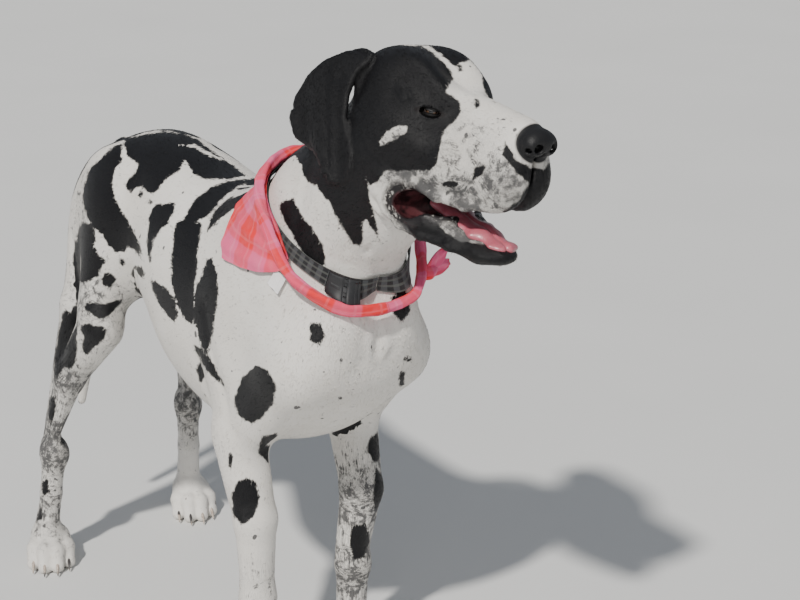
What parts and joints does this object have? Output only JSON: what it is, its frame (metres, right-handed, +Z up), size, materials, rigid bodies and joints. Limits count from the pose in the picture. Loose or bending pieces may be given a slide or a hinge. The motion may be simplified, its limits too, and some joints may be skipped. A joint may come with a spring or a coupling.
{
  "type": "great dane dog",
  "caption": "Life-size standing harlequin great dane with its mouth open, wearing a folded bandana and a webbing collar with a buckle.",
  "frame": {"origin": "centre of the bounding box at the level of the soles", "axes": "+Z up, the dog faces -Y and its own left is +X"},
  "size_m": [0.4296, 1.2524, 1.1046],
  "materials": {
    "coat": "short white coat with black harlequin patches",
    "black_skin": "moist pebbled nose",
    "tongue_skin": "wet",
    "eye_glass": "wet, dark brown",
    "claw_horn": "satin horn",
    "bandana_cloth": "thin woven cotton in coral checks",
    "tag_cloth": "blank woven tape",
    "collar_webbing": "dark checked webbing",
    "buckle_plastic": "satin moulded"
  },
  "bodies": {
    "root": {"head": "coat", "neck": "coat", "torso": "coat", "tail": "coat", "foreleg_right": "coat", "foreleg_left": "coat", "hindleg_right": "coat", "hindleg_left": "coat", "nose": "black_skin", "eye_right": "eye_glass", "eye_left": "eye_glass", "ear_right": "coat", "ear_left": "coat", "tongue": "tongue_skin", "bandana": "bandana_cloth", "bandana_roll": "bandana_cloth", "bandana_knot": "bandana_cloth", "bandana_tag": "tag_cloth", "collar": "collar_webbing", "collar_buckle": "buckle_plastic", "fore_claw_right_1": "claw_horn", "fore_claw_right_2": "claw_horn", "fore_claw_right_3": "claw_horn", "fore_claw_right_4": "claw_horn", "fore_claw_left_1": "claw_horn", "fore_claw_left_2": "claw_horn", "fore_claw_left_3": "claw_horn", "fore_claw_left_4": "claw_horn", "hind_claw_right_1": "claw_horn", "hind_claw_right_2": "claw_horn", "hind_claw_right_3": "claw_horn", "hind_claw_right_4": "claw_horn", "hind_claw_left_1": "claw_horn", "hind_claw_left_2": "claw_horn", "hind_claw_left_3": "claw_horn", "hind_claw_left_4": "claw_horn"}
  },
  "joints": []
}
